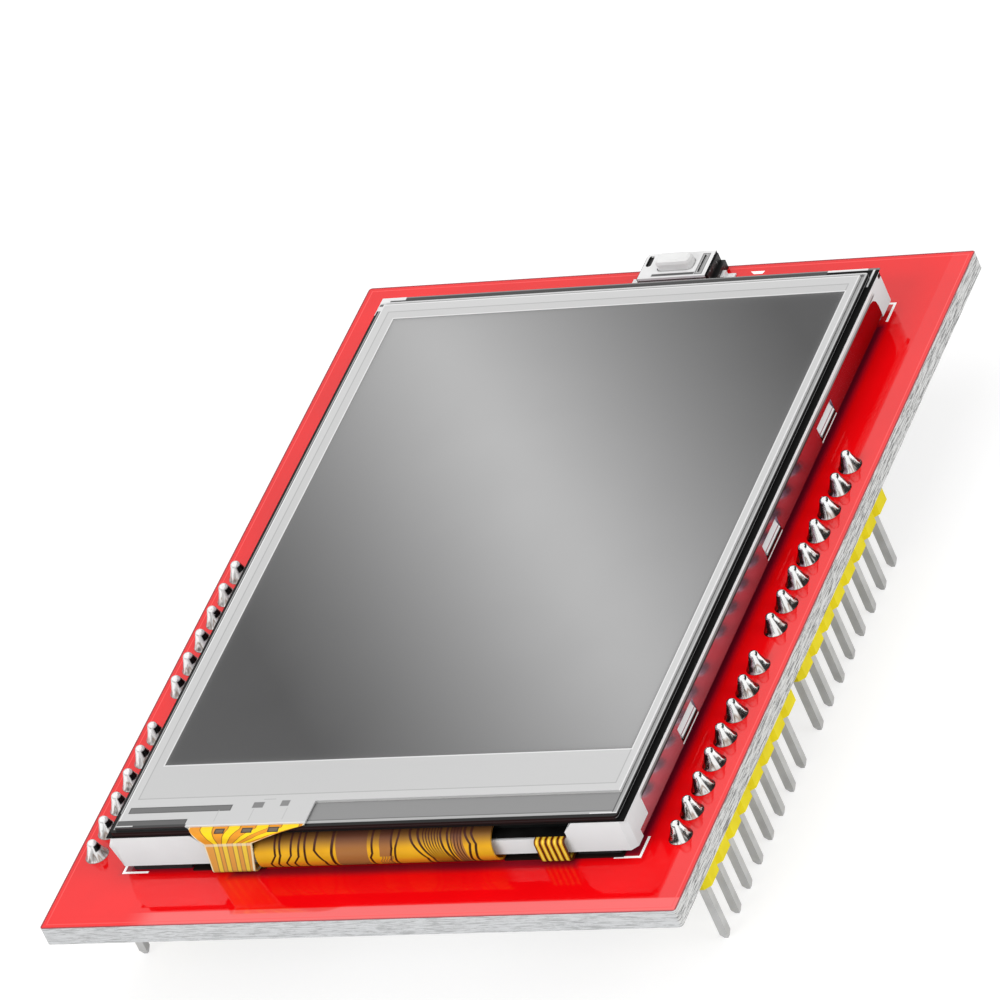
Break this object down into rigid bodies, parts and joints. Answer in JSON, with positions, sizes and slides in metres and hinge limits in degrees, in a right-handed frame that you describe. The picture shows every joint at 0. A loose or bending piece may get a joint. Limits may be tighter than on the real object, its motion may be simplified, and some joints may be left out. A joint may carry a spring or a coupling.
{
  "type": "tft display module",
  "caption": "Colour liquid crystal display with a touch panel on a plug-in circuit board with pin headers and a reset button.",
  "frame": {"origin": "under the middle of the board, at the level of the pin tips", "axes": "+X across the board towards the longer pin row, +Y along the board towards the reset button, +Z out of the screen"},
  "size_m": [0.0522, 0.0716, 0.0141],
  "materials": {
    "solder_mask": "glossy bright red solder mask over glass-fibre board",
    "frame_plastic": "white moulded plastic, satin",
    "tray_metal": "bright stainless sheet",
    "reflector": "white reflector sheet",
    "light_guide": "clear moulded light guide",
    "optical_film": "thin pale plastic film",
    "led_white": "white lamp package with a yellow lens",
    "flex": "amber polyimide with brown traces",
    "polariser": "dark grey film",
    "panel_glass": "liquid crystal glass",
    "chip_silicon": "dark polished chip",
    "solder": "bright solder",
    "rim_tape": "black double-sided tape",
    "touch_glass": "clear coated glass",
    "touch_spacer": "pale adhesive film",
    "touch_film": "glossy grey screen film with a pale rim",
    "foam_tape": "black foam tape",
    "switch_plastic": "black moulded plastic",
    "switch_metal": "satin sheet metal",
    "plunger_plastic": "off-white moulded plastic",
    "lead_metal": "tinned metal",
    "pin_metal": "tinned square pins",
    "header_plastic": "bright yellow moulded plastic",
    "socket_metal": "bright sheet metal",
    "socket_plastic": "black moulded plastic",
    "contact_metal": "gold-plated springs",
    "chip_plastic": "black moulded plastic",
    "capacitor_ceramic": "tan ceramic",
    "resistor_plastic": "black glaze over white ceramic"
  },
  "bodies": {
    "board": {"backlight_frame": "frame_plastic", "backlight_leds": "led_white", "backlight_tray": "tray_metal", "buffer_chip_a": "chip_plastic", "buffer_chip_b": "chip_plastic", "buffer_chip_leads_a": "lead_metal", "buffer_chip_leads_b": "lead_metal", "capacitors": "capacitor_ceramic", "card_socket_contacts": "contact_metal", "card_socket_insulator": "socket_plastic", "card_socket_shell": "socket_metal", "circuit_board": "solder_mask", "component_terminals": "lead_metal", "diffuser_film": "optical_film", "display_driver_chip": "chip_silicon", "display_flex": "flex", "flex_solder_joints": "solder", "foam_tape_pads": "foam_tape", "front_glass": "panel_glass", "front_polariser": "polariser", "header_housing_left_back": "header_plastic", "header_housing_left_front": "header_plastic", "header_housing_right_back": "header_plastic", "header_housing_right_front": "header_plastic", "header_pins_left_back": "pin_metal", "header_pins_left_front": "pin_metal", "header_pins_right_back": "pin_metal", "header_pins_right_front": "pin_metal", "led_flex": "flex", "ledge_tape": "rim_tape", "light_guide": "light_guide", "prism_film_lower": "optical_film", "prism_film_upper": "optical_film", "rear_glass": "panel_glass", "rear_polariser": "polariser", "reflector_sheet": "reflector", "regulator_body": "chip_plastic", "regulator_leads": "lead_metal", "resistors": "resistor_plastic", "rim_tape": "rim_tape", "solder_joints_left_back": "solder", "solder_joints_left_front": "solder", "solder_joints_right_back": "solder", "solder_joints_right_front": "solder", "switch_base": "switch_plastic", "switch_cover": "switch_metal", "switch_dome": "switch_metal", "switch_leads": "lead_metal", "touch_film": "touch_film", "touch_glass": "touch_glass", "touch_spacer": "touch_spacer", "touch_tail": "flex"},
    "button": {"switch_plunger": "plunger_plastic"}
  },
  "joints": [
    {"name": "button_slide", "type": "slide", "parent": "board", "child": "button", "axis": [0, 0, -1], "range_m": [0, 0.00025], "stiffness_N_per_m": 600, "deforming": ["switch_dome"]}
  ]
}
